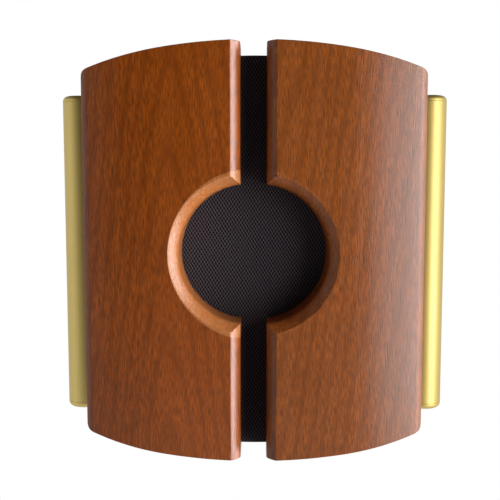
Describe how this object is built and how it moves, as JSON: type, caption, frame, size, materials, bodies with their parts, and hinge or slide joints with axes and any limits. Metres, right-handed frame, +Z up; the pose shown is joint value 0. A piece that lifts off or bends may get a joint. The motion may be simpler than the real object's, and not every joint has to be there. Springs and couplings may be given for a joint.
{
  "type": "door chime",
  "caption": "Wall-hung door chime with a bowed wooden front in two halves, a cloth-backed round sound opening, brass tubes at the sides and a lift-off cover over a small loudspeaker.",
  "frame": {"origin": "centre of the back plate's flat wall face, level with the middle of the wooden front", "axes": "+Y into the wall, so the front faces -Y; +Z up; +X to the right as a visitor faces the chime"},
  "size_m": [0.208, 0.06, 0.2104],
  "materials": {
    "stained_wood": "medium red-brown stain under satin lacquer",
    "satin_brass": "satin",
    "grille_fabric": "fine black open weave",
    "black_plastic": "fine moulded texture",
    "zinc_steel": "bright zinc plate",
    "frame_steel": "black electrocoat",
    "ferrite": "ground ferrite",
    "foam": "matt",
    "tag_board": "pressed paper board",
    "cone_paper": "felted black paper",
    "copper_winding": "lacquered copper wire",
    "spider_cloth": "resin-dipped cotton",
    "cell_jacket": "printed sleeve, no marks",
    "circuit_board": "solder mask",
    "chip_black": "moulded epoxy",
    "capacitor_sleeve": "shrink sleeve",
    "grey_plastic": "moulded",
    "wheel_black": "moulded, ribbed",
    "button_red": "moulded",
    "red_wire": "PVC insulation",
    "black_wire": "PVC insulation",
    "grey_wire": "PVC insulation"
  },
  "bodies": {
    "base": {"base_plate": "black_plastic", "speaker_frame": "frame_steel", "speaker_front_plate": "zinc_steel", "speaker_magnet": "ferrite", "speaker_yoke": "zinc_steel", "speaker_gasket": "foam", "speaker_terminal_strip": "tag_board", "speaker_screw_left": "zinc_steel", "speaker_screw_right": "zinc_steel", "speaker_surround": "foam", "speaker_spider": "spider_cloth", "battery_tray": "black_plastic", "battery_cell_upper": "cell_jacket", "battery_cell_lower": "cell_jacket", "battery_spring_upper": "zinc_steel", "battery_spring_lower": "zinc_steel", "battery_link_plate": "zinc_steel", "battery_contact_upper": "zinc_steel", "battery_contact_lower": "zinc_steel", "main_board": "circuit_board", "melody_chip": "chip_black", "filter_capacitor": "capacitor_sleeve", "receiver_board": "circuit_board", "antenna_coil": "copper_winding", "volume_potentiometer": "grey_plastic", "tune_switch_body": "grey_plastic", "learn_switch_body": "grey_plastic", "battery_lead_red": "red_wire", "battery_lead_black": "black_wire", "speaker_lead_red": "red_wire", "speaker_lead_black": "black_wire", "receiver_lead": "grey_wire"},
    "front_cover": {"wood_front_left": "stained_wood", "wood_front_right": "stained_wood", "grille_cloth": "grille_fabric", "cover_shell": "black_plastic", "brass_tube_left": "satin_brass", "brass_tube_right": "satin_brass", "tube_cap_left_upper": "satin_brass", "tube_cap_left_lower": "satin_brass", "tube_cap_right_upper": "satin_brass", "tube_cap_right_lower": "satin_brass", "tube_bracket_left_upper": "black_plastic", "tube_bracket_left_lower": "black_plastic", "tube_bracket_right_upper": "black_plastic", "tube_bracket_right_lower": "black_plastic", "tube_screw_left_upper": "zinc_steel", "tube_screw_left_lower": "zinc_steel", "tube_screw_right_upper": "zinc_steel", "tube_screw_right_lower": "zinc_steel", "front_screw_left_upper": "zinc_steel", "front_screw_left_lower": "zinc_steel", "front_screw_right_upper": "zinc_steel", "front_screw_right_lower": "zinc_steel"},
    "cone_assembly": {"speaker_cone": "cone_paper", "speaker_dust_cap": "cone_paper", "speaker_voice_coil": "copper_winding"},
    "volume_wheel": {"volume_wheel": "wheel_black"},
    "tune_knob": {"tune_switch_knob": "wheel_black"},
    "learn_button": {"learn_button": "button_red"}
  },
  "joints": [
    {"name": "cover_lift_off", "type": "slide", "parent": "base", "child": "front_cover", "axis": [0, -1, 0], "range_m": [0, 0.1]},
    {"name": "cone_travel", "type": "slide", "parent": "base", "child": "cone_assembly", "axis": [0, -1, 0], "range_m": [-0.0008, 0.0008], "stiffness_N_per_m": 1500, "deforming": ["speaker_surround", "speaker_spider"]},
    {"name": "volume_turn", "type": "hinge", "parent": "base", "child": "volume_wheel", "pos_m": [0.014, -0.0107, -0.0935], "axis": [0, 1, 0], "range_deg": [-140, 140]},
    {"name": "tune_slide", "type": "slide", "parent": "base", "child": "tune_knob", "axis": [1, 0, 0], "range_m": [-0.002, 0.002]},
    {"name": "learn_press", "type": "slide", "parent": "base", "child": "learn_button", "axis": [0, 0, 1], "range_m": [0, 0.0008], "stiffness_N_per_m": 400}
  ]
}
